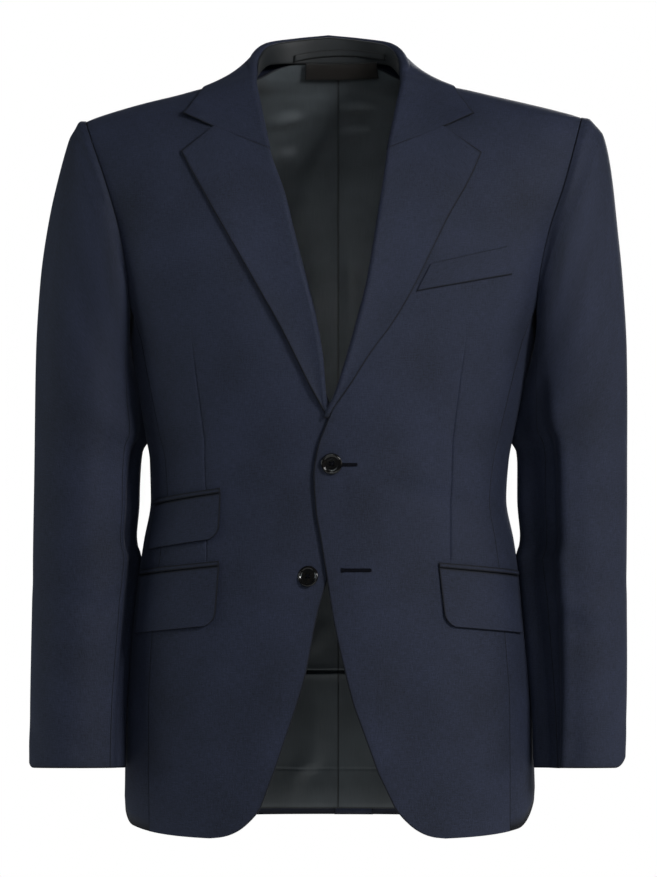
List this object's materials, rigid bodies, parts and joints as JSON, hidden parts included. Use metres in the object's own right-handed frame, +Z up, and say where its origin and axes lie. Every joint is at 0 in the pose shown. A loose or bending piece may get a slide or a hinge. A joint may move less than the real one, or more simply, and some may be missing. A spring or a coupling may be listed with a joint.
{
  "type": "suit jacket",
  "caption": "Single-breasted notch-lapel suit jacket in its worn form, hollow, with flap pockets, a ticket pocket, a breast welt and a centre vent.",
  "frame": {"origin": "midway between the shoulder seams, level with the back neck seam, where the wearer's shoulders carry the jacket", "axes": "+Z up, -Y out of the front, +X to the wearer's left"},
  "size_m": [0.5903, 0.2635, 0.7936],
  "materials": {
    "suiting": "fine navy worsted wool, soft and slightly two-toned",
    "lining": "dark grey-green satin, low sheen",
    "label": "dark brown woven tape, blank",
    "horn": "dark horn-like resin, satin"
  },
  "bodies": {
    "root": {"front_left": "suiting", "front_right": "suiting", "side_body_left": "suiting", "side_body_right": "suiting", "back_left": "suiting", "back_right": "suiting", "top_sleeve_left": "suiting", "top_sleeve_right": "suiting", "under_sleeve_left": "suiting", "under_sleeve_right": "suiting", "collar": "suiting", "lapel_left": "suiting", "lapel_right": "suiting", "breast_welt": "suiting", "flap_left": "suiting", "flap_right": "suiting", "flap_ticket": "suiting", "jet_left": "suiting", "jet_right": "suiting", "jet_ticket": "suiting", "lining_back_left": "lining", "lining_back_right": "lining", "hanger_loop": "lining", "neck_label": "label", "button_upper": "horn", "button_lower": "horn"}
  },
  "joints": []
}
